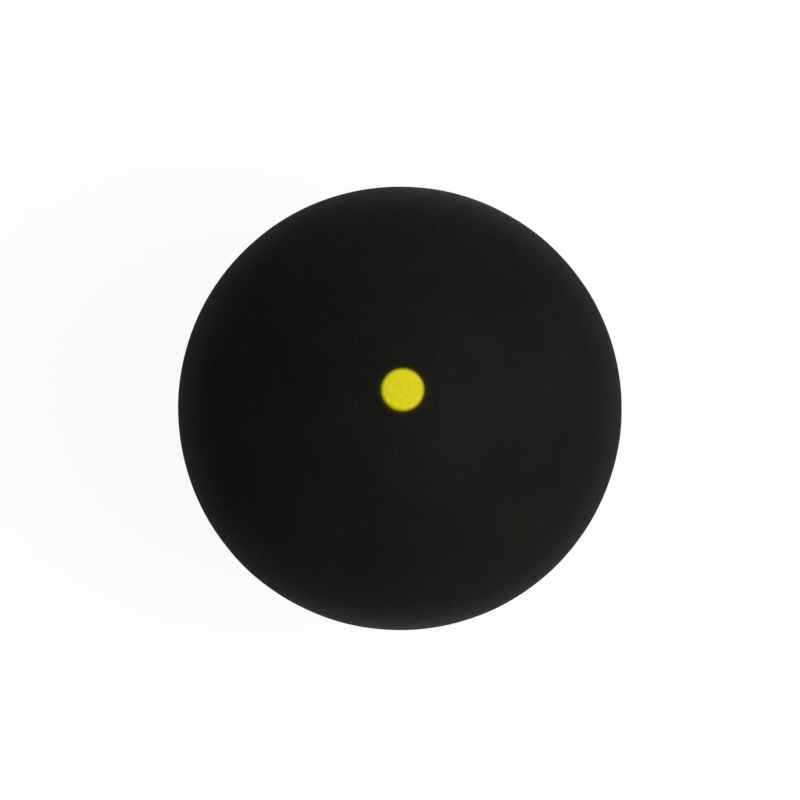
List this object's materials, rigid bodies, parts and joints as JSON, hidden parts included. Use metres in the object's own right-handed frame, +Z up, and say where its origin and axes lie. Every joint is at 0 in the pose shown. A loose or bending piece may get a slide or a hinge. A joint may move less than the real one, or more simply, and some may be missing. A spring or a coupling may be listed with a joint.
{
  "type": "squash ball",
  "caption": "Hollow black rubber squash ball: moulded half shells cemented rim to rim around trapped air, buffed matte, with a printed yellow dot for its slow bounce.",
  "frame": {"origin": "centre of the ball", "axes": "+Z up through the middle of the printed dot, X and Y in the plane of the seam"},
  "size_m": [0.039, 0.039, 0.039],
  "materials": {
    "buffed_rubber": "matte",
    "rubber_cement": "satin",
    "printing_ink": "matte"
  },
  "bodies": {
    "root": {"upper_half_shell": "buffed_rubber", "lower_half_shell": "buffed_rubber", "seam_cement": "rubber_cement", "yellow_dot": "printing_ink"}
  },
  "joints": []
}
